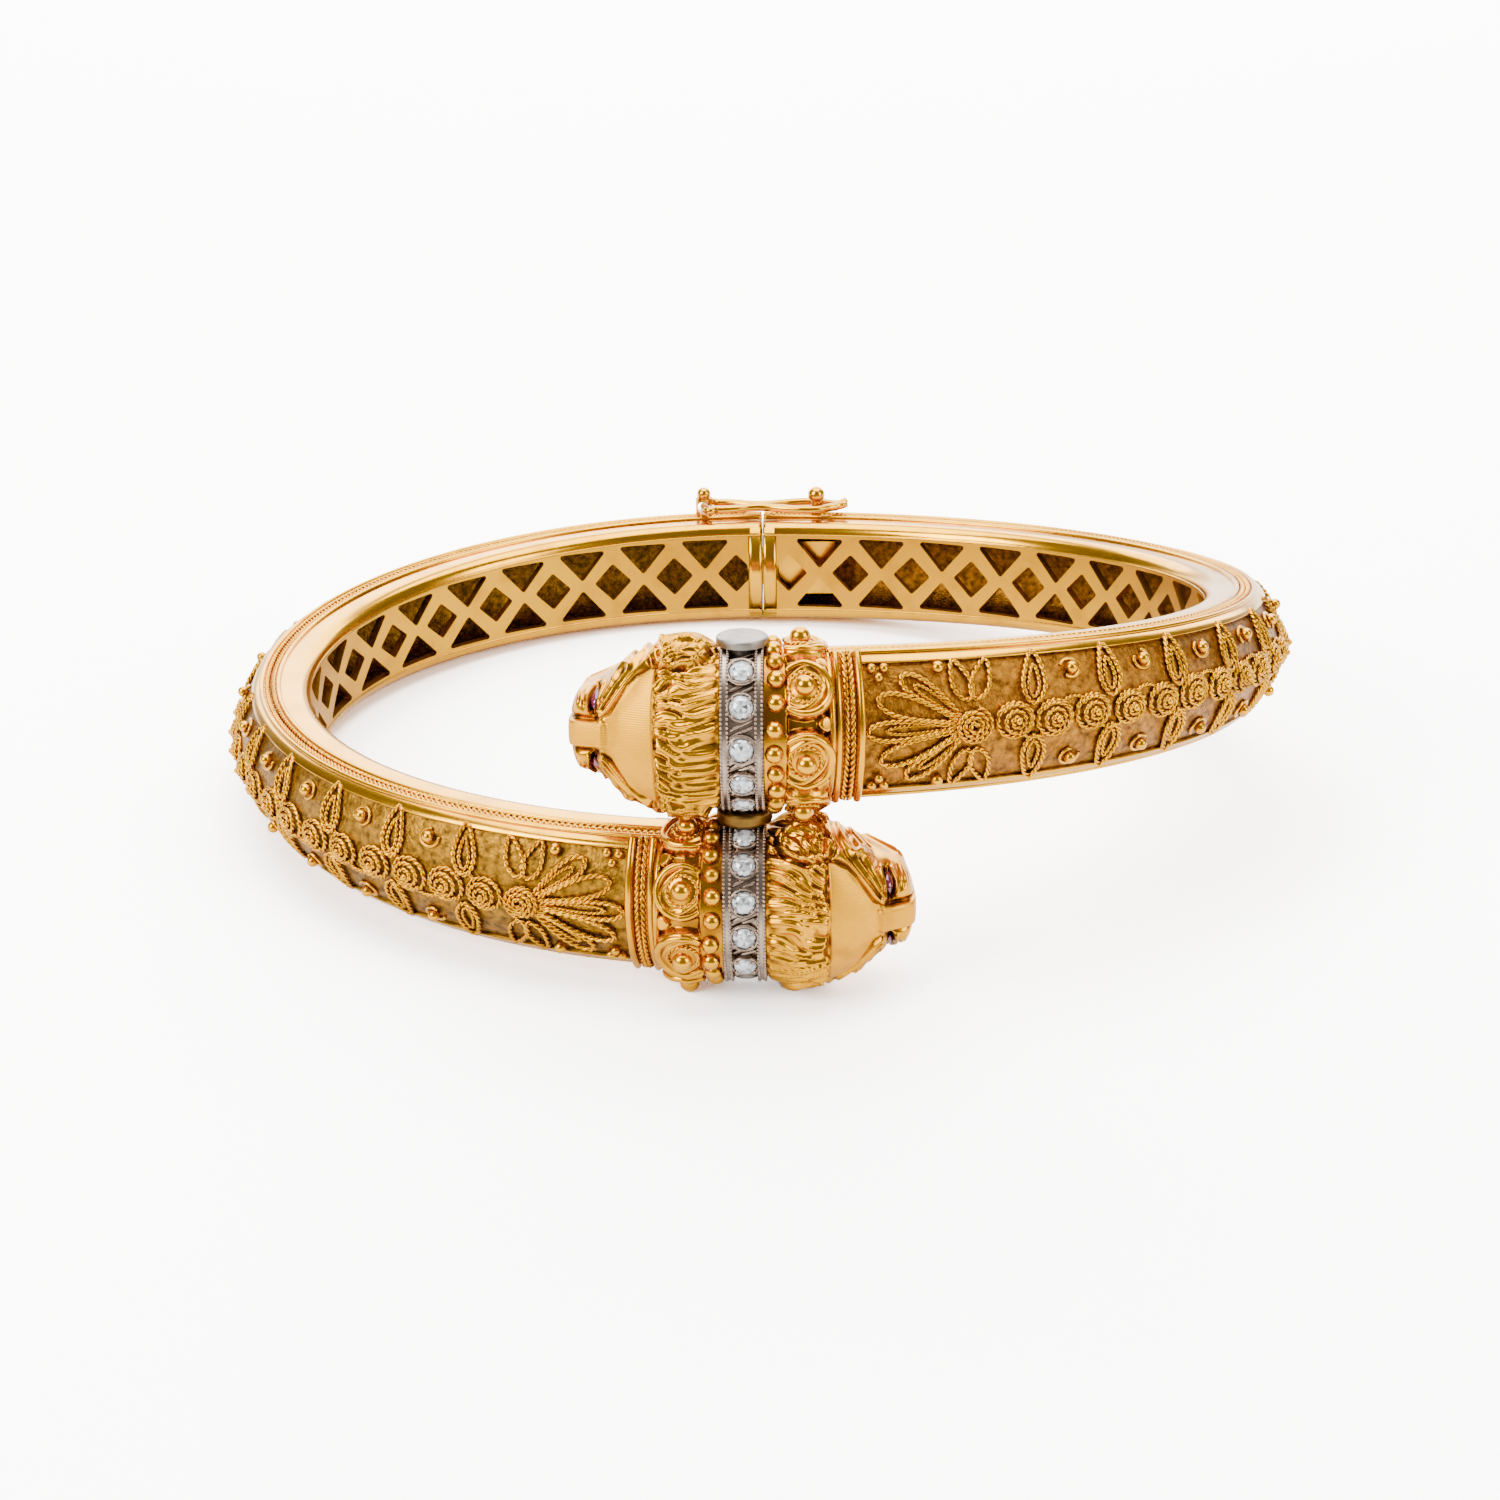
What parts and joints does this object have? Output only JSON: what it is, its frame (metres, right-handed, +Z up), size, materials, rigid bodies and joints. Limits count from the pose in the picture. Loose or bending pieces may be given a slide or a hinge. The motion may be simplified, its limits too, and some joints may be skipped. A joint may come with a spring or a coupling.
{
  "type": "hinged bypass bangle with lion's head terminals",
  "caption": "Oval gold bangle of two pierced, filigreed arms that cross at a front pivot and end in lion's heads, with a back clasp.",
  "frame": {"origin": "bottom centre of the bangle lying on its side", "axes": "+Z up from the surface it lies on, +X along the oval's long way, -Y towards the crossed heads"},
  "size_m": [0.0688, 0.059, 0.0212],
  "materials": {
    "arm_gold": "polished yellow gold rims, dark toned ground",
    "gallery_gold": "satin yellow gold",
    "filigree_gold": "bright twisted wire and granules",
    "head_gold": "brushed and chased yellow gold",
    "clasp_gold": "polished yellow gold",
    "white_metal": "engraved white metal, toned",
    "grey_metal": "worn grey metal",
    "dark_brass": "toned dark",
    "diamond": "cut stone",
    "ruby": "polished red stone"
  },
  "bodies": {
    "left_half": {"catch_post": "clasp_gold", "clasp_tongue": "clasp_gold", "left_arm": "arm_gold", "left_end_band": "filigree_gold", "left_fan": "filigree_gold", "left_gallery": "gallery_gold", "left_granules": "filigree_gold", "left_petals": "filigree_gold", "left_rosettes": "filigree_gold", "lower_diamond_1": "diamond", "lower_diamond_2": "diamond", "lower_diamond_3": "diamond", "lower_diamond_4": "diamond", "lower_diamond_5": "diamond", "lower_diamond_collar": "white_metal", "lower_eye_1": "ruby", "lower_eye_2": "ruby", "lower_lion_head": "head_gold", "lower_scroll_collar": "filigree_gold", "pivot_pin": "grey_metal", "spacer_washer": "dark_brass"},
    "right_half": {"right_arm": "arm_gold", "right_end_band": "filigree_gold", "right_fan": "filigree_gold", "right_gallery": "gallery_gold", "right_granules": "filigree_gold", "right_petals": "filigree_gold", "right_rosettes": "filigree_gold", "upper_diamond_1": "diamond", "upper_diamond_2": "diamond", "upper_diamond_3": "diamond", "upper_diamond_4": "diamond", "upper_diamond_5": "diamond", "upper_diamond_collar": "white_metal", "upper_eye_1": "ruby", "upper_eye_2": "ruby", "upper_lion_head": "head_gold", "upper_scroll_collar": "filigree_gold", "clasp_box": "clasp_gold", "catch_knob": "clasp_gold"},
    "safety_catch": {"safety_catch": "clasp_gold"}
  },
  "joints": [
    {"name": "front_pivot", "type": "hinge", "parent": "left_half", "child": "right_half", "pos_m": [0, -0.02453, 0.01055], "axis": [-0.0168, 0.1293, 0.9915], "range_deg": [-60, 0]},
    {"name": "catch_hinge", "type": "hinge", "parent": "left_half", "child": "safety_catch", "pos_m": [-0.00442, 0.0271, 0.00828], "axis": [0, -0.9916, 0.1293], "range_deg": [0, 110]}
  ]
}
